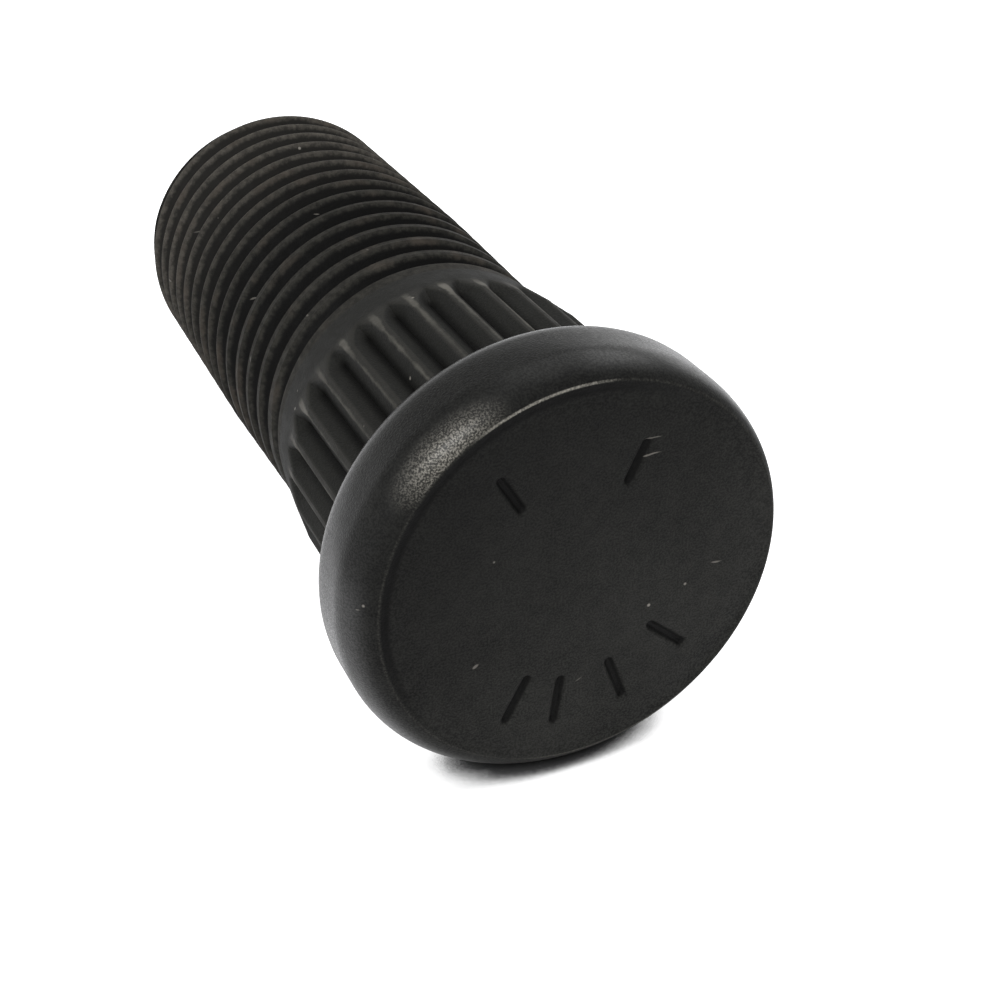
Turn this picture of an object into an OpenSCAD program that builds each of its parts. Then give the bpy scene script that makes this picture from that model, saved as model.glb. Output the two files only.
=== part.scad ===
// Wheel stud: one rolled and forged piece of steel with a black finish.
// It stands on its head: z = 0 is the outer face of the head and +Z runs along the shank.
// The hub carries it by the serrated shoulder, which is pressed in until the seat stops it.

/* [Head] */
// Diameter over the round rim
head_d = 17.45; // [17:0.05:24]
// Thickness from the outer face to the seat
head_t = 4.1; // [3.4:0.1:8]
// Distance from the widest part of the head in to the edge of the flat outer face
face_inset = 0.8; // [0.4:0.05:1.5]
// Radius of the round between the wall and the outer face
rim_r = 1.95; // [1.6:0.05:2.1]
// Radius of the round between the wall and the seat
back_r = 1.15; // [0.2:0.05:1.3]

/* [Serrated shoulder] */
// Diameter over the crests of the serrations
serration_d = 14.4; // [14.2:0.1:15]
// Number of serrations
serration_count = 30; // [20:1:36]
// Depth of the valleys below the crests
serration_depth = 0.6; // [0.3:0.05:0.8]
// Width of the flat left on each crest
crest_w = 0.28; // [0.1:0.02:0.4]
// Length of the full valleys, measured from the seat
serration_len = 6.7; // [4:0.1:12]
// Length over which a valley floor climbs to the collar
valley_runout = 1.3; // [0.6:0.1:2]

/* [Collar] */
// Diameter of the collar at its thread end
collar_d = 13.7; // [13:0.05:13.9]
// Length of the tapered collar, from the end of the full valleys to the thread
collar_len = 2.9; // [2.2:0.1:8]

/* [Thread] */
// Diameter over the thread crests
thread_d = 14; // [13.8:0.05:14.1]
// Pitch of the right-hand thread
thread_pitch = 1.5; // [1.25:0.05:2]
// Length of the threaded end, from the collar to the tip
thread_len = 23.2; // [12:0.1:26]
// Height of the bevel at the tip
tip_bevel = 0.9; // [0.6:0.1:1.8]
// Turns over which the last groove becomes shallow beside the collar
runout_turns = 0.6; // [0.2:0.05:0.9]

/* [Marks] */
// Depth of the plain strokes stamped into the face
mark_depth = 0.2; // [0.1:0.05:0.4]
// Width of one stroke
mark_w = 0.45; // [0.3:0.05:0.6]
// Length of one stroke in the long row
mark_len = 2.3; // [1:0.1:2.8]
// Distance of the strokes from the middle of the face
mark_ring_r = 5.1; // [4.4:0.1:5.6]

/* [Hidden] */
$fn = 96;
// Directions of the strokes as seen from the shank, in degrees
long_marks = [41, 70, 98, 118];
short_marks = [239, 296];
short_share = 0.85;
// Direction of the first crest, in degrees
serration_turn = 3;

head_r = head_d / 2;
rim_mid = head_r - rim_r;
rim_h = sqrt(rim_r * rim_r - (rim_r - face_inset) * (rim_r - face_inset));
crest_r = serration_d / 2;
valley_r = crest_r - serration_depth;
collar_r = collar_d / 2;
full_valley_z = head_t + serration_len;
collar_z = full_valley_z + collar_len;
tip_z = collar_z + thread_len;
collar_slope = (crest_r - collar_r) / collar_len;
valley_end_z = full_valley_z + valley_runout;
valley_end_r = crest_r - collar_slope * valley_runout;
cutter_r = crest_r + 1;
serration_step = 360 / serration_count;
crest_half_angle = asin(crest_w / serration_d);

// Proportions of a metric thread: sharp height, crest flat and rounded root
thread_r = thread_d / 2;
groove_depth = 0.6134 * thread_pitch;
crest_half = thread_pitch / 16;
root_half = thread_pitch / 9;
// Height and direction of the middle of the groove's dying end
groove_start_z = 0.53;
groove_start_angle = 75;
// How much lower the first crests are, beside the collar, and the slope at which they rise to full height
low_crest_drop = 0.25;
land_slope = 0.027;
turn_steps = 30;
turns = ceil((thread_len - groove_start_z) / thread_pitch) + 2;
column_points = 4 * (turns + 1);

// Depth of the groove after so many turns from its dying end
function groove_at(turn) =
    let (share = min(1, max(0, turn / runout_turns)))
    groove_depth * share * share * (3 - 2 * share);

// Largest radius allowed at a height: the low crests beside the collar and the bevel at the tip
function thread_limit(z) =
    min(thread_r, thread_r - low_crest_drop + land_slope * max(0, z - collar_z),
        thread_r + tip_z - tip_bevel - z);

// Turns from the dying end of the groove to groove k, seen in one direction
function turns_at(step, k) = (step * 360 / turn_steps - groove_start_angle) / 360 + k - 1;

// Point i of the column of thread points that stands in the direction of one step
function thread_point(step, i) =
    let (k = floor(i / 4),
         corner = i - 4 * k,
         turn = turns_at(step, k),
         rise = [-root_half, root_half, thread_pitch / 2 - crest_half, thread_pitch / 2 + crest_half][corner],
         z = collar_z + groove_start_z + turn * thread_pitch + rise,
         depth = corner < 2 ? groove_at(turn) : 0,
         r = min(thread_limit(z), thread_r - depth),
         a = step * 360 / turn_steps)
    [r * cos(a), r * sin(a), z];

thread_points = [for (step = [0:turn_steps - 1]) for (i = [0:column_points - 1]) thread_point(step, i)];
low_centre = [0, 0, collar_z - 2.5 * thread_pitch];
high_centre = [0, 0, tip_z + 3 * thread_pitch];
low_index = len(thread_points);
high_index = low_index + 1;

// Index of point i in a column: past the last column the helix has climbed by one pitch
function point_index(step, i) =
    step < turn_steps ? step * column_points + i : i + 4;

// Outer skin of the thread: two triangles between neighbouring columns
skin_faces = [
    for (step = [0:turn_steps - 1])
        for (i = [0:column_points - 2 - (step == turn_steps - 1 ? 4 : 0)])
            for (half = [0, 1])
                half == 0
                    ? [point_index(step, i), point_index(step, i + 1), point_index(step + 1, i + 1)]
                    : [point_index(step, i), point_index(step + 1, i + 1), point_index(step + 1, i)]];

// Ragged ends of the helix, each closed by a fan from a point on the axis
last_column = (turn_steps - 1) * column_points;
low_rim = concat([for (step = [0:turn_steps - 1]) step * column_points], [for (i = [4:-1:1]) i]);
high_rim = concat(
    [for (i = [0:3]) last_column + column_points - 5 + i],
    [for (step = [turn_steps - 1:-1:0]) step * column_points + column_points - 1]);
low_faces = [for (i = [0:len(low_rim) - 1]) [low_index, low_rim[i], low_rim[(i + 1) % len(low_rim)]]];
high_faces = [for (i = [0:len(high_rim) - 1]) [high_index, high_rim[i], high_rim[(i + 1) % len(high_rim)]]];

// Half section of the head: flat face, round rim and round back edge
module head_section() {
    intersection() {
        union() {
            translate([rim_mid, rim_h]) circle(rim_r);
            translate([head_r - back_r, head_t - back_r]) circle(back_r);
            square([head_r - back_r, head_t]);
            translate([0, rim_h]) square([head_r, head_t - back_r - rim_h]);
        }
        square([head_r, head_t]);
    }
}

// Half section of the shoulder over the crests, with the collar that tapers to the thread
module shoulder_section() {
    polygon([
        [0, head_t / 2], [crest_r, head_t / 2], [crest_r, full_valley_z],
        [collar_r, collar_z], [0, collar_z]]);
}

// Half section of the space that the valleys may take: they climb to the collar at the end
module valley_section() {
    polygon([
        [valley_r - 1, head_t], [cutter_r, head_t], [cutter_r, valley_end_z],
        [valley_end_r, valley_end_z], [valley_r, full_valley_z], [valley_r - 1, full_valley_z]]);
}

// Outline of the serrations: a narrow crest and a sharp valley, all round
module serration_outline() {
    polygon([
        for (i = [0:serration_count - 1])
            for (corner = [-1, 1, 0])
                let (turn = corner == 0 ? serration_step / 2 : corner * crest_half_angle,
                     a = i * serration_step + turn,
                     r = corner == 0 ? valley_r : crest_r * 1.02)
                [r * cos(a), r * sin(a)]]);
}

// Everything that is cut away between the crests
module valleys() {
    intersection() {
        translate([0, 0, head_t])
            linear_extrude(valley_end_z - head_t)
                difference() {
                    circle(cutter_r);
                    serration_outline();
                }
        rotate_extrude() valley_section();
    }
}

// Threaded end: the helical skin trimmed flat at the tip and inside the collar
module threaded_end() {
    intersection() {
        polyhedron(
            points = concat(thread_points, [low_centre, high_centre]),
            faces = concat(skin_faces, low_faces, high_faces));
        translate([-head_r, -head_r, collar_z - thread_pitch])
            cube([head_d, head_d, thread_len + thread_pitch]);
    }
}

// One plain stroke, sunk into the outer face and pointing to its middle
module stroke(direction, length) {
    rotate([0, 0, direction])
        translate([mark_ring_r - length / 2, -mark_w / 2, -mark_depth])
            cube([length, mark_w, 2 * mark_depth]);
}

// Head, shoulder and collar turned in one piece, with the valleys rolled in
module blank_with_serrations() {
    rotate([0, 0, serration_turn])
        difference() {
            rotate_extrude()
                union() {
                    head_section();
                    shoulder_section();
                }
            valleys();
        }
}

module wheel_stud() {
    color([0.13, 0.13, 0.12])
        union() {
            difference() {
                blank_with_serrations();
                for (a = long_marks) stroke(a, mark_len);
                for (a = short_marks) stroke(a, mark_len * short_share);
            }
            threaded_end();
        }
}

wheel_stud();
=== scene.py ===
import math

import bmesh
import bpy
from mathutils import Matrix, Vector, noise


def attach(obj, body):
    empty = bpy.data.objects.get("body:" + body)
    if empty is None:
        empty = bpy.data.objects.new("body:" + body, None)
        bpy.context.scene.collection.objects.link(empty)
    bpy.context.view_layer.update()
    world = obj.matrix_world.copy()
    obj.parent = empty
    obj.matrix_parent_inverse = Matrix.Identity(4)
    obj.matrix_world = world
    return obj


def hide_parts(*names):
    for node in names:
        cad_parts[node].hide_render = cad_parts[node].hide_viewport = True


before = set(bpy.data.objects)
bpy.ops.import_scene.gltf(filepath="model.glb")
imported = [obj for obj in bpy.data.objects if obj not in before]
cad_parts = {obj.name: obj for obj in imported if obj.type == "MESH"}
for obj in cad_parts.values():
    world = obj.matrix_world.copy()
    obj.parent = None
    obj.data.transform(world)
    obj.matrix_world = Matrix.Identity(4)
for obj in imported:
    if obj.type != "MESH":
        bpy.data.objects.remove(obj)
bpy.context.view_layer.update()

# Camera: close to the head, looking down along the shank past the left of the rim.
# Its place was fitted to the outline of the stud in the photograph.
camera_place = Vector((-0.021187, -0.031369, -0.040131))
camera_right = Vector((0.91146, 0, -0.41139))
camera_down = Vector((-0.21385, 0.85428, -0.47379))
lens = bpy.data.cameras.new("camera")
lens.sensor_fit = "HORIZONTAL"
lens.sensor_width = 36
lens.lens = 55.063
lens.clip_start = 0.004
lens.clip_end = 10
camera = bpy.data.objects.new("camera", lens)
bpy.context.scene.collection.objects.link(camera)
bpy.context.scene.camera = camera
camera_turn = Matrix((camera_right, -camera_down, -camera_right.cross(camera_down))).transposed()
camera.matrix_world = Matrix.Translation(camera_place) @ camera_turn.to_4x4()

# Floor: a plain white sheet of card that the stud lies on, on the rim of its head and the end of its thread.
# It is seen from above only: from behind it is clear, so that it hides no side of the stud.
# It glows to the camera wherever it lies open, and keeps its own shade close to the rim.
floor_up = Vector((0, -0.9987, -0.0507))
rim_contact = Vector((0, 0.00873, 0.0023))
card_half_width, card_gap = 0.6, 0.00002
card_white = (0.86, 0.86, 0.88)
card_in_gloss = 0.36
# The shade by the rim: its reach and depth, how open the card is where the glow sets in, and where it ends
shade_reach, shade_samples, shade_depth = 0.0028, 16, 2.0
glow_sets_in = (0.36, 0.48)
shade_ends = (0.009, 0.0125)

card = bmesh.new()
bmesh.ops.create_grid(card, x_segments=1, y_segments=1, size=card_half_width)
card_turn = floor_up.to_track_quat("Z", "Y").to_matrix().to_4x4()
card_rest = Matrix.Translation(rim_contact - card_gap * floor_up) @ card_turn
bmesh.ops.transform(card, matrix=card_rest, verts=card.verts)
floor_mesh = bpy.data.meshes.new("floor")
card.to_mesh(floor_mesh)
card.free()
floor = bpy.data.objects.new("floor", floor_mesh)
bpy.context.scene.collection.objects.link(floor)


def add_node(tree, kind, feeds, **settings):
    """Adds a shader node. A feed is a socket to link or a plain value, under its input's name or number."""
    node = tree.nodes.new("ShaderNode" + kind)
    for name, value in settings.items():
        setattr(node, name, value)
    for name, feed in feeds.items():
        if isinstance(feed, bpy.types.NodeSocket):
            tree.links.new(feed, node.inputs[name])
        else:
            node.inputs[name].default_value = feed
    return node


def ramp(tree, value, low, high, start=0.0, end=1.0):
    """A smooth change from start to end while a value goes from low to high."""
    feeds = {"Value": value, "From Min": low, "From Max": high, "To Min": start, "To Max": end}
    return add_node(tree, "MapRange", feeds, interpolation_type="SMOOTHSTEP").outputs[0]


def combine(tree, operation, first, second):
    """One sum, power or other plain operation of two values."""
    return add_node(tree, "Math", {0: first, 1: second}, operation=operation).outputs[0]


def both(tree, first, second):
    """The product of two values, such as two masks that hold at once."""
    return combine(tree, "MULTIPLY", first, second)


def blend(tree, share, low, high):
    """A colour between two others, each a socket or a plain colour."""
    low, high = [tone if isinstance(tone, bpy.types.NodeSocket) else (*tone, 1) for tone in (low, high)]
    return add_node(tree, "Mix", {0: share, 6: low, 7: high}, data_type="RGBA").outputs[2]


def measure(tree, operation, place, other=(0, 0, 0)):
    """A distance, a length or a reach along one direction, as a plain value."""
    return add_node(tree, "VectorMath", {0: place, 1: other}, operation=operation).outputs["Value"]


white_card = bpy.data.materials.new("white_card")
white_card.use_nodes = True
tree = white_card.node_tree
tree.nodes.clear()
card_path = add_node(tree, "LightPath", {})
card_seen = both(tree, card_path.outputs["Is Glossy Ray"], card_in_gloss)
card_seen = combine(tree, "MAXIMUM", card_path.outputs["Is Camera Ray"], card_seen)
card_open = add_node(tree, "AmbientOcclusion", {"Distance": shade_reach}, samples=shade_samples).outputs["AO"]
card_tone = blend(tree, combine(tree, "POWER", card_open, shade_depth), (0, 0, 0), card_white)
under_lift = both(tree, card_seen, ramp(tree, card_open, *glow_sets_in))
under_glow = add_node(tree, "Emission", {"Strength": under_lift})
under_paint = add_node(tree, "BsdfDiffuse", {"Color": card_tone})
under_card = add_node(tree, "AddShader", {0: under_paint.outputs[0], 1: under_glow.outputs[0]})
open_glow = add_node(tree, "Emission", {"Strength": card_seen})
open_paint = add_node(tree, "BsdfDiffuse", {"Color": (*card_white, 1)})
open_card = add_node(tree, "AddShader", {0: open_paint.outputs[0], 1: open_glow.outputs[0]})
card_place = add_node(tree, "TexCoord", {}).outputs["Object"]
card_reach = measure(tree, "DISTANCE", card_place, rim_contact)
away = ramp(tree, card_reach, *shade_ends)
card_top = add_node(tree, "MixShader", {0: away, 1: under_card.outputs[0], 2: open_card.outputs[0]})
card_clear = add_node(tree, "BsdfTransparent", {})
card_back = add_node(tree, "NewGeometry", {}).outputs["Backfacing"]
card_sides = add_node(tree, "MixShader", {0: card_back, 1: card_top.outputs[0], 2: card_clear.outputs[0]})
add_node(tree, "OutputMaterial", {"Surface": card_sides.outputs[0]})
floor_mesh.materials.append(white_card)

# Light: a small lamp behind the camera gives the broken glint on the round of the rim, a wide soft one
# hangs high over the stud, and a weak one under the card adds only a trace. The room is plain white, but
# in the stud's gloss it dims from the floor up, which keeps the rim dark with a bright edge.
overhead = (0.05, 0.4)
sheen_along_floor, sheen_overhead, room_strength = 0.95, 0.34, 0.33
room = bpy.data.worlds.new("room")
room.use_nodes = True
bpy.context.scene.world = room
tree = room.node_tree
tree.nodes.clear()
room_path = add_node(tree, "LightPath", {}).outputs
room_seen = combine(tree, "MAXIMUM", room_path["Is Camera Ray"], room_path["Is Transmission Ray"])
room_way = add_node(tree, "TexCoord", {}).outputs["Generated"]
room_height = measure(tree, "DOT_PRODUCT", room_way, floor_up)
room_sheen = ramp(tree, room_height, *overhead, sheen_along_floor, sheen_overhead)
room_sheen = both(tree, room_path["Is Glossy Ray"], room_sheen)
room_shine = combine(tree, "MAXIMUM", combine(tree, "MAXIMUM", room_seen, room_sheen), room_strength)
room_light = add_node(tree, "Background", {"Strength": room_shine, "Color": (1, 1, 1, 1)})
add_node(tree, "OutputWorld", {"Surface": room_light.outputs[0]})


def hang_lamp(name, place, aim, size, power):
    """An area lamp at a place, turned to a point."""
    lamp = bpy.data.lights.new(name, "AREA")
    lamp.size = size
    lamp.energy = power
    holder = bpy.data.objects.new(name, lamp)
    bpy.context.scene.collection.objects.link(holder)
    turn = (aim - place).to_track_quat("-Z", "Y").to_matrix().to_4x4()
    holder.matrix_world = Matrix.Translation(place) @ turn


stud_middle = Vector((0, 0, 0.012))
hang_lamp("front_lamp", Vector((-0.1, -0.135, -0.115)), stud_middle, size=0.065, power=0.19)
hang_lamp("window_lamp", Vector((0.19, -0.4, 0.09)), stud_middle, size=0.5, power=0.8)
hang_lamp("fill_lamp", Vector((0.12, 0.3, 0.2)), stud_middle, size=0.3, power=0.35)

# Wheel stud: a steel blank with a forged head, rolled serrations and a rolled thread, all one piece.
# It is finished in black phosphate, which is dull and patchy, and has rubbed to a brown on the crests.
# The blank is spun from its half section, strokes and serrations are pressed in, and the thread is a helix.
MM = 0.001
# Sizes of the shape, in millimetres and degrees
HEAD_R, HEAD_T = 8.72, 4.1
RIM_R, BACK_R, FACE_INSET, FACE_EDGE_BREAK = 1.95, 1.15, 0.8, 0.07
FACE_SHIFT, SHIFT_FROM_R = Vector((0.29, -0.12, 0)), 6.5
# Distances in from the edge of the face, each with the depth of the dish there
FACE_LIP = (
    (1.3, 0), (0.95, 0.012), (0.65, 0.034), (0.42, 0.05), (0.3, 0.05),
    (0.21, 0.035), (0.14, 0.012), (0.08, 0), (0, 0))
# The strokes: their direction and length, and the ring of fine mesh that they are pressed into
STROKES = ((41, 2.3), (70, 2.3), (98, 2.3), (118, 2.3), (239, 1.95), (296, 1.95))
MARK_RING_R, MARK_DEPTH, MARK_HALF_W, MARK_ZONE = 5.1, 0.2, 0.24, (3.8, 6.4)
MARK_FLOOR, MARK_BRINK = 0.2 * MARK_HALF_W, 1.15 * MARK_HALF_W
CREST_R, CREST_HALF_ANGLE = 7.2, 0.9
SERRATION_DEPTH, SERRATION_COUNT, SERRATION_TURN = 0.6, 30, 3
FULL_VALLEY_Z, VALLEY_END_Z, VALLEY_CLIMB = 10.8, 12.1, 1.0
ARCH_RISE, ARCH_POWER, ARCH_UNEVEN, ARCH_STRIDE = 0.9, 1.6, 0.25, 3.7
COLLAR_Z, COLLAR_R, COLLAR_LEDGE, LAND_SLOPE = 13.7, 6.85, 0.1, 0.027
COLLAR_BREAK_W, COLLAR_BREAK_H = 0.03, 0.04
THREAD_R, PITCH, TIP_Z, TIP_BEVEL = 7.0, 1.5, 36.899, 0.9
GROOVE_START_Z, GROOVE_START_TURN, RUNOUT_TURNS = 0.53, 75 / 360, 0.6
# Proportions of a metric thread, in pitches: its depth, its rounded root and crest, and where a flank ends
THREAD_DEPTH, ROOT_ROUND, CREST_ROUND, FLANK_END = 0.6134, 0.1443, 0.1083, 0.4375
FLANK_LEAN = math.radians(60)
# Steps of the spins, and the distances at which points are merged, count as level or lie on a cut
SPIN_STEPS, THREAD_STEPS = 360, 144
MERGE, LEVEL, ON_CUT = 0.0005, 0.001, 0.0001
SHARP_EDGE = math.radians(28)


def smooth_step(value, low, high):
    """Goes smoothly from 0 to 1 while a value goes from low to high."""
    share = min(1, max(0, (value - low) / (high - low)))
    return share * share * (3 - 2 * share)


def on_outline(shape, last, r, z, steps=1):
    """Draws the half section on in a straight line to radius r and height z."""
    start = last.co.copy()
    for step in range(1, steps + 1):
        point = shape.verts.new(start.lerp(Vector((r, 0, z)), step / steps))
        shape.edges.new((last, point))
        last = point
    return last


def round_outline(shape, last, r, z, angle, steps):
    """Draws the half section on in an arc about radius r and height z."""
    arc = bmesh.ops.spin(
        shape, geom=[last], cent=(r, 0, z), axis=(0, -1, 0), angle=math.radians(angle), steps=steps)
    return arc["geom_last"][0]


def spin_blank():
    """Head, shoulder and collar as one turned shape. The face is a little dished inside its edge."""
    shape = bmesh.new()
    rim_mid = HEAD_R - RIM_R
    face_r = HEAD_R - FACE_INSET
    rim_h = math.sqrt(RIM_R ** 2 - (RIM_R - FACE_INSET) ** 2)
    rim_angle = math.degrees(math.asin(rim_h / RIM_R))
    slope = (CREST_R - COLLAR_R) / (COLLAR_Z - FULL_VALLEY_Z)
    valley_end_r = CREST_R - slope * (VALLEY_END_Z - FULL_VALLEY_Z)
    fine_rings_z = FULL_VALLEY_Z - 0.4
    point = shape.verts.new((0, 0, 0))
    for r, steps in zip(MARK_ZONE, (5, 32)):
        point = on_outline(shape, point, r, 0, steps)
    for inset, dip in FACE_LIP:
        point = on_outline(shape, point, face_r - inset, dip)
    point = round_outline(shape, point, rim_mid, rim_h, rim_angle, 14)
    point = on_outline(shape, point, HEAD_R, HEAD_T - BACK_R, 3)
    point = round_outline(shape, point, HEAD_R - BACK_R, HEAD_T - BACK_R, 90, 8)
    for r, z, steps in (
            (CREST_R, HEAD_T, 2), (CREST_R, fine_rings_z, 8), (CREST_R, FULL_VALLEY_Z, 4),
            (valley_end_r, VALLEY_END_Z, 16), (COLLAR_R, COLLAR_Z - COLLAR_BREAK_H, 5),
            (COLLAR_R - COLLAR_BREAK_W, COLLAR_Z, 1)):
        point = on_outline(shape, point, r, z, steps)
    bmesh.ops.spin(
        shape, geom=shape.verts[:] + shape.edges[:], cent=(0, 0, 0), axis=(0, 0, 1),
        angle=math.tau, steps=SPIN_STEPS, use_merge=True)
    bmesh.ops.remove_doubles(shape, verts=shape.verts, dist=MERGE)
    face_edge = [
        edge for edge in shape.edges
        if all(vert.co.z < LEVEL and vert.co.xy.length > face_r - LEVEL for vert in edge.verts)]
    bmesh.ops.bevel(
        shape, geom=face_edge, offset=FACE_EDGE_BREAK, segments=3, profile=0.5, affect="EDGES", material=-1)
    for vert in shape.verts:
        z, r = vert.co.z, vert.co.xy.length
        if z < rim_h and r > SHIFT_FROM_R:
            vert.co += FACE_SHIFT * (smooth_step(r, SHIFT_FROM_R, face_r) * (1 - max(0, z) / rim_h) ** 2)
    return shape


def press_marks(shape):
    """Presses the plain strokes into the face: soft grooves that point to its middle."""
    for vert in shape.verts:
        if vert.co.z > LEVEL or not MARK_ZONE[0] < vert.co.xy.length < MARK_ZONE[1]:
            continue
        for direction, length in STROKES:
            along = Vector((math.cos(math.radians(direction)), math.sin(math.radians(direction))))
            past = max(0, abs(vert.co.xy.dot(along) - MARK_RING_R) - length / 2 + MARK_HALF_W)
            gap = math.hypot(past, vert.co.xy.cross(along))
            vert.co.z = max(vert.co.z, MARK_DEPTH * (1 - smooth_step(gap, MARK_FLOOR, MARK_BRINK)))


def roll_serrations(shape):
    """Presses the valleys into the shoulder, between its crests. Each ends in an arch below the collar."""
    step = 360 / SERRATION_COUNT
    low_z, high_z, least_r = HEAD_T - LEVEL, VALLEY_END_Z + 0.2, CREST_R - 0.4
    for vert in shape.verts:
        z, r = vert.co.z, vert.co.xy.length
        if z < low_z or z > high_z or r < least_r:
            continue
        if abs(z - HEAD_T) < LEVEL and r > CREST_R + LEVEL:
            continue
        turn = math.degrees(math.atan2(vert.co.y, vert.co.x)) - SERRATION_TURN + step / 2
        off = turn % step - step / 2
        flank = max(0, (abs(off) - CREST_HALF_ANGLE) / (step / 2 - CREST_HALF_ANGLE))
        uneven = ARCH_UNEVEN * noise.noise(Vector((turn // step * ARCH_STRIDE, 0, 0)))
        arch = VALLEY_END_Z + uneven - ARCH_RISE * (1 - flank) ** ARCH_POWER
        floor_r = min(r, CREST_R - SERRATION_DEPTH * flank)
        vert.co.xy *= (floor_r + (r - floor_r) * smooth_step(z, arch - VALLEY_CLIMB, arch)) / r


def land_at(z):
    """Largest radius at a height: the low crests beside the collar and the bevel at the tip."""
    beside_collar = COLLAR_R - COLLAR_LEDGE + LAND_SLOPE * max(0, z - COLLAR_Z)
    return min(THREAD_R, beside_collar, THREAD_R + TIP_Z - TIP_BEVEL - z)


def groove_share(off):
    """Depth below the crest at a distance from the middle of the groove, both in pitches."""
    off = abs(off)
    if off < ROOT_ROUND * math.sin(FLANK_LEAN):
        return THREAD_DEPTH - ROOT_ROUND + math.sqrt(ROOT_ROUND ** 2 - off ** 2)
    if 0.5 - off < CREST_ROUND * math.sin(FLANK_LEAN):
        return CREST_ROUND - math.sqrt(CREST_ROUND ** 2 - (0.5 - off) ** 2)
    return (FLANK_END - off) * math.tan(FLANK_LEAN)


def spin_thread():
    """The threaded end: one turn of skin, spun and repeated up the shank, then cut at both ends."""
    shape = bmesh.new()
    spare_turns, turns_below = 3, 2.5
    turns = math.ceil((TIP_Z - COLLAR_Z) / PITCH) + spare_turns
    low = COLLAR_Z + GROOVE_START_Z - turns_below * PITCH
    offs = [-0.5, -0.47, -0.44, -0.406, -0.34, -0.27, -0.2, -0.125, -0.09, -0.045, 0]
    offs += [-off for off in offs[-2::-1]]
    points = [shape.verts.new((THREAD_R, 0, low + (off + 0.5 - GROOVE_START_TURN) * PITCH)) for off in offs]
    edges = [shape.edges.new(pair) for pair in zip(points, points[1:])]
    bmesh.ops.spin(
        shape, geom=points + edges, cent=(0, 0, 0), axis=(0, 0, 1), dvec=(0, 0, PITCH / THREAD_STEPS),
        angle=math.tau, steps=THREAD_STEPS)
    one_turn = shape.verts[:] + shape.edges[:] + shape.faces[:]
    for _ in range(turns - 1):
        one_turn = bmesh.ops.duplicate(shape, geom=one_turn)["geom"]
        moved = [part for part in one_turn if isinstance(part, bmesh.types.BMVert)]
        bmesh.ops.translate(shape, vec=(0, 0, PITCH), verts=moved)
    bmesh.ops.remove_doubles(shape, verts=shape.verts, dist=MERGE)
    for vert in shape.verts:
        turn = math.atan2(vert.co.y, vert.co.x) / math.tau - GROOVE_START_TURN
        pitches = (vert.co.z - COLLAR_Z - GROOVE_START_Z) / PITCH - turn
        share = smooth_step(turn + round(pitches), 0, RUNOUT_TURNS)
        depth = groove_share(pitches - round(pitches)) * PITCH * share
        vert.co.xy *= min(THREAD_R - depth, land_at(vert.co.z)) / THREAD_R
    for height, up in ((COLLAR_Z, -1), (TIP_Z, 1)):
        bmesh.ops.bisect_plane(
            shape, geom=shape.verts[:] + shape.edges[:] + shape.faces[:], dist=ON_CUT,
            plane_co=(0, 0, height), plane_no=(0, 0, up), clear_outer=True)
    return shape


def close_at(shape, height):
    """Fills what is open at one height: the ledge between collar and thread, or the flat tip."""
    rim = [
        edge for edge in shape.edges
        if edge.is_boundary and all(abs(vert.co.z - height) < LEVEL for vert in edge.verts)]
    bmesh.ops.triangle_fill(shape, use_beauty=True, edges=rim, normal=(0, 0, 1))


blank = spin_blank()
press_marks(blank)
roll_serrations(blank)
thread = spin_thread()
thread_mesh = bpy.data.meshes.new("thread")
thread.to_mesh(thread_mesh)
thread.free()
blank.from_mesh(thread_mesh)
bpy.data.meshes.remove(thread_mesh)
close_at(blank, COLLAR_Z)
close_at(blank, TIP_Z)
bmesh.ops.recalc_face_normals(blank, faces=blank.faces)
bmesh.ops.scale(blank, vec=(MM, MM, MM), verts=blank.verts)
skin = bpy.data.meshes.new("wheel_stud_skin")
blank.to_mesh(skin)
blank.free()
skin.polygons.foreach_set("use_smooth", [True] * len(skin.polygons))
skin.set_sharp_from_angle(angle=SHARP_EDGE)
stud = bpy.data.objects.new("wheel_stud_skin", skin)
bpy.context.scene.collection.objects.link(stud)


def start_group(name, takes, gives):
    """An empty shader group, with the sockets that feed it and those that it gives."""
    group = bpy.data.node_groups.new(name, "ShaderNodeTree")
    for direction, sockets in (("INPUT", takes), ("OUTPUT", gives)):
        for socket, kind in sockets.items():
            group.interface.new_socket(name=socket, in_out=direction, socket_type="NodeSocket" + kind)
    return group, group.nodes.new("NodeGroupInput").outputs, group.nodes.new("NodeGroupOutput").inputs


def metres(*sizes):
    """Sizes given in millimetres, as a shader reads them."""
    return tuple(size * MM for size in sizes)


def cloud(tree, place, scale, detail=3.0, roughness=0.55):
    """Soft noise with so many swells to a metre."""
    feeds = {"Vector": place, "Scale": scale, "Detail": detail, "Roughness": roughness}
    return add_node(tree, "TexNoise", feeds).outputs["Fac"]


def shift(tree, operation, place, other):
    """A place that is moved or stretched by another."""
    return add_node(tree, "VectorMath", {0: place, 1: other}, operation=operation).outputs[0]


def band(tree, value, start, full, fade, end):
    """A mask that comes in from start to full and goes out again from fade to end."""
    return both(tree, ramp(tree, value, start, full), ramp(tree, value, fade, end, 1, 0))


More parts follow.
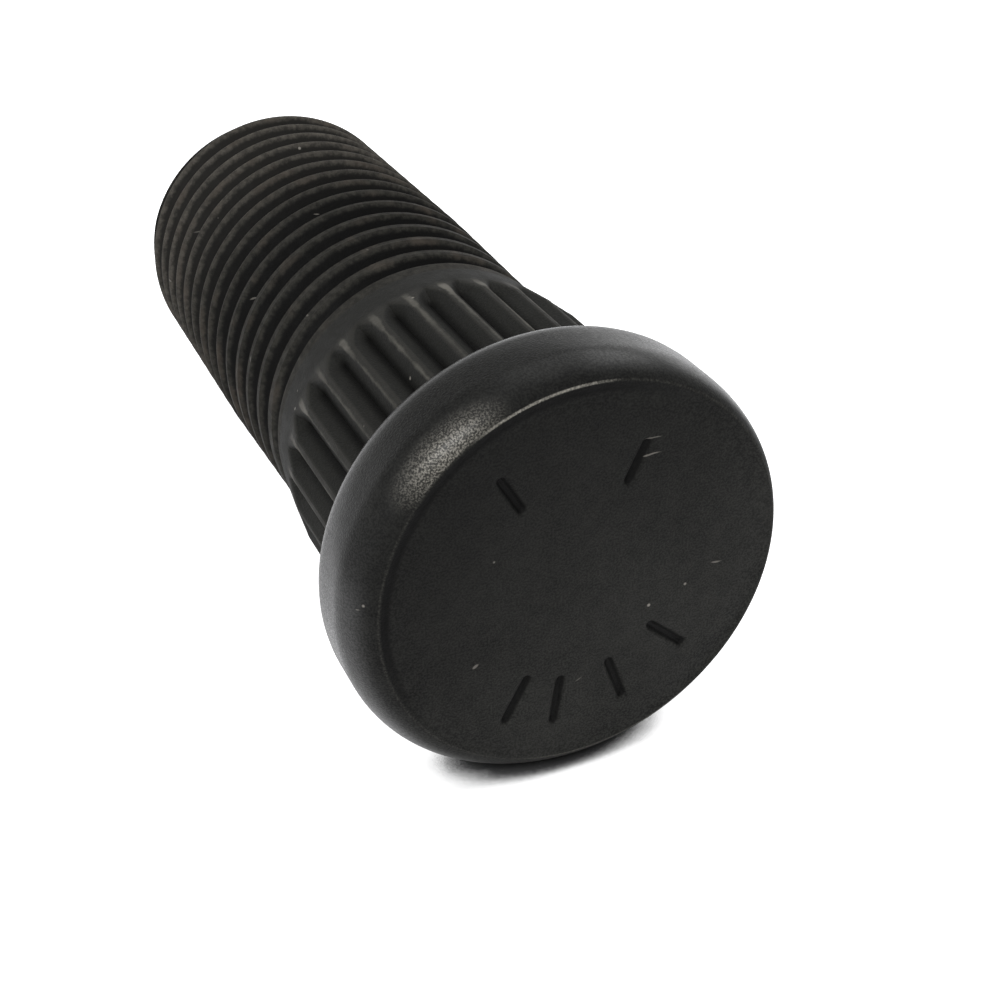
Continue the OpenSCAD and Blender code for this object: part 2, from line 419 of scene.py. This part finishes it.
# The grain: crystals, a fine mottle and wide patches, each with its share of the tone
CRYSTAL_SCALE, MOTTLE_SCALE, PATCH_SCALE = 13000, 1500, 75
CRYSTAL_SHARE, MOTTLE_SHARE, PATCH_SHARE = 0.48, 0.22, 0.3
PATCH_OFFSET = metres(3.5, 12.5, 0)
ROUGHER_BY, LEAST_GLOSS = 0.04, 0.62
phosphate_grain, takes, gives = start_group(
    "phosphate_grain", {"Dark": "Color", "Light": "Color", "Grain": "Float"},
    {"Color": "Color", "Roughness": "Float", "Gloss": "Float", "Height": "Float"})
tree = phosphate_grain
place = add_node(tree, "TexCoord", {}).outputs["Object"]
crystals = cloud(tree, place, CRYSTAL_SCALE, detail=2)
mottle = ramp(tree, cloud(tree, place, MOTTLE_SCALE, detail=4, roughness=0.62), 0.36, 0.64)
patch_place = add_node(tree, "Mapping", {"Vector": place, "Location": PATCH_OFFSET}).outputs[0]
patch = ramp(tree, cloud(tree, patch_place, PATCH_SCALE), 0.35, 0.65)
tone = combine(tree, "ADD", both(tree, mottle, MOTTLE_SHARE), both(tree, patch, PATCH_SHARE))
tone = combine(tree, "ADD", tone, both(tree, ramp(tree, crystals, 0.36, 0.64), CRYSTAL_SHARE))
tree.links.new(blend(tree, tone, takes["Dark"], takes["Light"]), gives["Color"])
tree.links.new(ramp(tree, mottle, 0, 1, -ROUGHER_BY, ROUGHER_BY), gives["Roughness"])
tree.links.new(ramp(tree, crystals, 0.38, 0.66, LEAST_GLOSS, 1), gives["Gloss"])
tree.links.new(both(tree, crystals, takes["Grain"]), gives["Height"])

# The dust: round specks in some cells of one pattern, and bent bits of lint in some cells of another
DUST_COLOUR = (0.3, 0.28, 0.25)
SPECK_CELLS, LINT_CELLS, LINT_BENDS = 640.0, 330.0, 500.0
SPECK_EDGE, SPECK_PICK = (0.025, 0.06), (0.7, 0.72)
LINT_EDGE, LINT_PICK, LINT_STRENGTH = (0.06, 0.13), (0.9, 0.91), 0.5
LINT_BEND, LINT_TURN, LINT_SQUEEZE = metres(1.6, 1.6, 1.6), (0.4, 0.3, 0.7), (1, 7, 3)
dust, takes, gives = start_group("dust", {"Color": "Color", "Amount": "Float"}, {"Color": "Color"})
tree = dust
place = add_node(tree, "TexCoord", {}).outputs["Object"]
cells = add_node(tree, "TexVoronoi", {"Vector": place, "Scale": SPECK_CELLS}).outputs
cell_pick = add_node(tree, "SeparateColor", {0: cells["Color"]}).outputs[0]
speck = both(tree, ramp(tree, cells["Distance"], *SPECK_EDGE, 1, 0), ramp(tree, cell_pick, *SPECK_PICK))
bent = add_node(tree, "TexNoise", {"Vector": place, "Scale": LINT_BENDS, "Detail": 0.0}).outputs["Color"]
bent = shift(tree, "ADD", shift(tree, "MULTIPLY", bent, LINT_BEND), place)
bent = add_node(tree, "Mapping", {"Vector": bent, "Rotation": LINT_TURN, "Scale": LINT_SQUEEZE}).outputs[0]
cells = add_node(tree, "TexVoronoi", {"Vector": bent, "Scale": LINT_CELLS}).outputs
cell_pick = add_node(tree, "SeparateColor", {0: cells["Color"]}).outputs[0]
lint = both(tree, ramp(tree, cells["Distance"], *LINT_EDGE, 1, 0), ramp(tree, cell_pick, *LINT_PICK))
fleck = both(tree, combine(tree, "MAXIMUM", speck, both(tree, lint, LINT_STRENGTH)), takes["Amount"])
tree.links.new(blend(tree, fleck, takes["Color"], DUST_COLOUR), gives["Color"])

# The coat on the blank, with painted light: it is painted paler towards the lower right of the face
COAT_DARK, COAT_LIGHT, COAT_PAINTED_LIGHT = (0.004, 0.004, 0.0038), (0.021, 0.0212, 0.0195), (0.043, 0.043, 0.0395)
LOWER_RIGHT, PAINTED_LIGHT_FROM_TO = (0.5, 0.87, 0), metres(-8, 7)
BLOTCH_SCALE = 420
black_phosphate = bpy.data.materials.new("black_phosphate")
black_phosphate.use_nodes = True
tree = black_phosphate.node_tree
place = add_node(tree, "TexCoord", {}).outputs["Object"]
height = add_node(tree, "SeparateXYZ", {0: place}).outputs["Z"]
flat_place = shift(tree, "MULTIPLY", place, (1, 1, 0))
lower_right = measure(tree, "DOT_PRODUCT", flat_place, LOWER_RIGHT)
# Painted light: the coat's light tone is painted paler towards the lower right, across the whole stud
painted_light_tone = blend(tree, ramp(tree, lower_right, *PAINTED_LIGHT_FROM_TO), COAT_LIGHT, COAT_PAINTED_LIGHT)
grain_feeds = {"Dark": (*COAT_DARK, 1), "Light": painted_light_tone, "Grain": 1.0}
forged = add_node(tree, "Group", grain_feeds, node_tree=phosphate_grain).outputs
reach = measure(tree, "LENGTH", flat_place)
blotch = ramp(tree, cloud(tree, place, BLOTCH_SCALE, detail=4, roughness=0.6), 0.34, 0.66)

# The head: shiny rim, painted shade in crease and strokes, painted highlight on worn edge and rubbed spot
RIM_ZONE, RIM_FROM = metres(0.06, 0.8, 4.0, HEAD_T), metres(7.7, 7.9)
CREASE_ZONE, CREASE_DARK = metres(7.4, 7.62, 7.8, 7.86), 0.85
UP_LEFT, CREASE_UP_LEFT = (-0.7, -0.7, 0), metres(1.0, 5.5)
PRESSED_HEIGHT, PRESSED_OUT_TO, PRESSED_DARK = metres(0.03, 0.12), metres(6.4, 6.6), 0.8
EDGE_ZONE, EDGE_HEIGHT = metres(7.86, 7.9, 7.93, 7.98), metres(0.15, 0.3)
TOP_WAY, TOP_REACH, TOP_SHARE = (-0.225, -0.974, 0), metres(7.4, 7.9), (0.04, 0.9)
LOW_WAY, LOW_REACH, LOW_SHARE = (0.2, 0.98, 0), metres(6.6, 7.7), (0, 0.2)
RUBBED_GLINT_SPOT, SPOT_WAY, SPOT_STRETCH = metres(-4.9, -6.45, 0.2), Vector((0.8, -0.6, 0)), 0.6
SPOT_FADE, SPOT_FROM = metres(0.2, 1.2), metres(7.9, 8.0)
SPOT_BARE, EDGE_BARE, FLECK_SCALE = 0.6, 0.8, 15000
SHADE, EDGE_METAL_AND_HIGHLIGHT, BARE_METAL_AND_GLINT = (0.0015, 0.0015, 0.0015), (0.26, 0.25, 0.22), (0.42, 0.4, 0.35)
face_reach = measure(tree, "LENGTH", shift(tree, "SUBTRACT", flat_place, FACE_SHIFT * MM))
on_rim = both(tree, band(tree, height, *RIM_ZONE), ramp(tree, face_reach, *RIM_FROM))
up_left = measure(tree, "DOT_PRODUCT", flat_place, UP_LEFT)
crease = band(tree, face_reach, *CREASE_ZONE)
crease = both(tree, crease, ramp(tree, up_left, *CREASE_UP_LEFT, 0, CREASE_DARK))
pressed = both(tree, ramp(tree, height, *PRESSED_HEIGHT), ramp(tree, reach, *PRESSED_OUT_TO, 1, 0))
# Painted shade: the coat is darkened in the crease inside the upper left of the edge and on the stroke floors
shaded = combine(tree, "MAXIMUM", crease, both(tree, pressed, PRESSED_DARK))
# The bright edge line is worn metal with a painted highlight: strongest along the top of the edge, weak at
# the bottom
edge_wear_and_highlight = both(tree, band(tree, face_reach, *EDGE_ZONE), ramp(tree, height, *EDGE_HEIGHT, 1, 0))
top_reach = measure(tree, "DOT_PRODUCT", flat_place, TOP_WAY)
low_reach = measure(tree, "DOT_PRODUCT", flat_place, LOW_WAY)
highlight_streak = ramp(tree, top_reach, *TOP_REACH, *TOP_SHARE)
highlight_streak = combine(tree, "ADD", highlight_streak, ramp(tree, low_reach, *LOW_REACH, *LOW_SHARE))
edge_wear_and_highlight = both(tree, edge_wear_and_highlight, both(tree, highlight_streak, ramp(tree, forged["Gloss"], 0.5, 1, 0.35, 1)))
flecks = ramp(tree, cloud(tree, place, FLECK_SCALE, roughness=0.6), 0.42, 0.64, 0.1, 1)
# The rubbed spot is put where the lamp's glint falls on the rim: its pale metal flecks are partly wear,
# partly painted highlight
from_spot = shift(tree, "SUBTRACT", place, RUBBED_GLINT_SPOT)
drawn_out = both(tree, measure(tree, "DOT_PRODUCT", from_spot, SPOT_WAY), SPOT_STRETCH)
drawn_out = add_node(tree, "VectorMath", {0: SPOT_WAY, 3: drawn_out}, operation="SCALE").outputs[0]
spot_reach = measure(tree, "DISTANCE", from_spot, drawn_out)
bare_and_glint = both(tree, ramp(tree, spot_reach, *SPOT_FADE, SPOT_BARE, 0), ramp(tree, face_reach, *SPOT_FROM))
bare_and_glint = both(tree, combine(tree, "ADD", bare_and_glint, both(tree, edge_wear_and_highlight, EDGE_BARE)), flecks)
coat = blend(tree, shaded, forged["Color"], SHADE)
coat = blend(tree, edge_wear_and_highlight, coat, EDGE_METAL_AND_HIGHLIGHT)
coat = blend(tree, bare_and_glint, coat, BARE_METAL_AND_GLINT)

# The shoulder: worn crests, painted shade in the valleys, a painted highlight along one side of each crest
SHOULDER_ZONE, SHANK_FROM, SHANK_WEAR = metres(HEAD_T, 4.3, 11.7, 12.3), metres(HEAD_T, 4.3), 0.22
HIGHLIGHT_ACROSS, HIGHLIGHT_TURN, HIGHLIGHT_EDGE, HIGHLIGHT_DEPTH = metres(-5.0, 0.5), (-1.15, 0.8), (-0.1, 0.9), metres(0.1, 0.2)
HIGHLIGHT_BROADENS, HIGHLIGHT_BROADER_BY = metres(9.8, 11.3), 0.6
HIGHLIGHT_SCALE, HIGHLIGHT_WANDER, HIGHLIGHT_END_WANDER = 1100, 2.6, 0.5 * MM
HIGHLIGHT_END, HIGHLIGHT_LEFT = metres(11.3, 12.2), 0.12
LAND_DEPTH, LAND_WORN, VALLEY_DEPTH, VALLEY_SHADE = metres(0.02, 0.09), 0.75, metres(0.28, 0.56), 0.72
SHANK_GREY, LAND_GREY = (0.052, 0.052, 0.047), (0.04, 0.039, 0.035)
HIGHLIGHT_GREY, HIGHLIGHT_TIP_GREY = (0.1, 0.096, 0.084), (0.17, 0.162, 0.142)
shoulder_reach = ramp(tree, height, *metres(FULL_VALLEY_Z, COLLAR_Z, CREST_R, COLLAR_R))
shoulder_reach.node.interpolation_type = "LINEAR"
below_land = combine(tree, "SUBTRACT", shoulder_reach, reach)
on_shoulder = band(tree, height, *SHOULDER_ZONE)
sides = add_node(tree, "SeparateXYZ", {0: place}).outputs
direction = both(tree, combine(tree, "ARCTAN2", sides["Y"], sides["X"]), 180 / math.pi)
tooth = 360 / SERRATION_COUNT
off_crest = combine(tree, "ADD", direction, 360 + tooth / 2 - SERRATION_TURN)
off_crest = combine(tree, "SUBTRACT", combine(tree, "FLOORED_MODULO", off_crest, tooth), tooth / 2)
# Painted highlight: an uneven bright line along one side of each crest, the side changing across the stud,
# broader and paler towards the crest tips
off_highlight = combine(tree, "SUBTRACT", off_crest, ramp(tree, sides["X"], *HIGHLIGHT_ACROSS, *HIGHLIGHT_TURN))
off_highlight = combine(tree, "ABSOLUTE", off_highlight, 0)
at_highlight_end = ramp(tree, height, *HIGHLIGHT_BROADENS)
uneven = combine(tree, "SUBTRACT", cloud(tree, place, HIGHLIGHT_SCALE, roughness=0.6), 0.5)
uneven = both(tree, uneven, HIGHLIGHT_WANDER)
off_highlight = combine(tree, "SUBTRACT", off_highlight, both(tree, at_highlight_end, HIGHLIGHT_BROADER_BY))
off_highlight = combine(tree, "ADD", off_highlight, uneven)
crest_highlight = both(tree, ramp(tree, off_highlight, *HIGHLIGHT_EDGE, 1, 0), ramp(tree, below_land, *HIGHLIGHT_DEPTH, 1, 0))
highlight_height = combine(tree, "ADD", height, both(tree, uneven, HIGHLIGHT_END_WANDER))
crest_highlight = both(tree, crest_highlight, ramp(tree, highlight_height, *HIGHLIGHT_END, 1, HIGHLIGHT_LEFT))
crest_highlight = both(tree, both(tree, crest_highlight, on_shoulder), ramp(tree, blotch, 0, 1, 0.45, 1))
land = both(tree, on_shoulder, ramp(tree, below_land, *LAND_DEPTH, LAND_WORN, 0))
# Painted shade: the coat is darkened deep in each valley
valley_shade = both(tree, on_shoulder, ramp(tree, below_land, *VALLEY_DEPTH, 0, VALLEY_SHADE))
coat = blend(tree, ramp(tree, height, *SHANK_FROM, 0, SHANK_WEAR), coat, SHANK_GREY)
coat = blend(tree, valley_shade, coat, COAT_DARK)
coat = blend(tree, land, coat, LAND_GREY)
coat = blend(tree, crest_highlight, coat, blend(tree, at_highlight_end, HIGHLIGHT_GREY, HIGHLIGHT_TIP_GREY))

# The thread: dark grooves between scuffed crests, which are brown in places and paler towards the tip
THREAD_ZONE, CRESTS_FULL_Z, FIRST_CREST_R = metres(13.6, 13.9, 36.82, 36.88), 22.2, 6.75
CREST_DEPTH, CREST_EDGE_WANDER, PALER = metres(-0.02, 0.2), 0.06 * MM, metres(21, 33)
SCUFF_SCALE, BROWN_SCALE, BROWN_SHARE = 3600, 420, 0.5
SCUFF_DARK, SCUFF_LIGHT = (0.02, 0.0192, 0.0168), (0.044, 0.042, 0.036)
TIP_SCUFF_DARK, TIP_SCUFF_LIGHT = (0.046, 0.043, 0.0375), (0.105, 0.096, 0.082)
BROWN, GROOVE_DARK, TIP_GROOVE = (0.09, 0.074, 0.06), (0.0045, 0.0045, 0.0043), (0.02, 0.019, 0.017)
crest_reach = ramp(tree, height, *metres(COLLAR_Z, CRESTS_FULL_Z, FIRST_CREST_R, THREAD_R))
crest_reach.node.interpolation_type = "LINEAR"
below_crest = combine(tree, "SUBTRACT", crest_reach, reach)
scuffs = ramp(tree, cloud(tree, place, SCUFF_SCALE, detail=4, roughness=0.65), 0.28, 0.72)
edge_wander = both(tree, combine(tree, "ADD", blotch, scuffs), CREST_EDGE_WANDER)
near_tip = ramp(tree, height, *PALER)
brown = ramp(tree, cloud(tree, place, BROWN_SCALE, roughness=0.6), 0.52, 0.7)
rubbed = blend(tree, scuffs, SCUFF_DARK, SCUFF_LIGHT)
rubbed = blend(tree, near_tip, rubbed, blend(tree, scuffs, TIP_SCUFF_DARK, TIP_SCUFF_LIGHT))
rubbed = blend(tree, both(tree, brown, BROWN_SHARE), rubbed, BROWN)
on_crest = ramp(tree, combine(tree, "SUBTRACT", below_crest, edge_wander), *CREST_DEPTH, 1, 0)
groove = blend(tree, near_tip, GROOVE_DARK, TIP_GROOVE)
threaded = blend(tree, on_crest, groove, rubbed)
coat = blend(tree, band(tree, height, *THREAD_ZONE), coat, threaded)
coat = add_node(tree, "Group", {"Color": coat, "Amount": 1.0}, node_tree=dust).outputs["Color"]

# The shine: dull all over, with a thin gloss on the rim that is weaker round the rubbed spot
HALO_ZONE, HALO_GLOSS = metres(0.7, 1.5, 2.1, 3.6), 0.3
DULL, RIM_DULL, GRAIN_HEIGHT = 0.6, 0.4, 0.02 * MM
finish = tree.nodes["Principled BSDF"].inputs
finish["Specular IOR Level"].default_value = 0.1
finish["Coat Roughness"].default_value = 0.25
gloss = ramp(tree, band(tree, spot_reach, *HALO_ZONE), 0, 1, 1, HALO_GLOSS)
gloss = both(tree, forged["Gloss"], gloss)
tree.links.new(both(tree, on_rim, gloss), finish["Coat Weight"])
tree.links.new(coat, finish["Base Color"])
dullness = combine(tree, "ADD", forged["Roughness"], ramp(tree, on_rim, 0, 1, DULL, RIM_DULL))
tree.links.new(dullness, finish["Roughness"])
tree.links.new(bare_and_glint, finish["Metallic"])
bumps = add_node(tree, "Bump", {"Height": forged["Height"], "Distance": GRAIN_HEIGHT, "Strength": 1.0})
tree.links.new(bumps.outputs[0], finish["Normal"])
skin.materials.append(black_phosphate)
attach(stud, "root")
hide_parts("wheel_stud")

# The picture shows colours as they are
bpy.context.scene.view_settings.view_transform = "Standard"
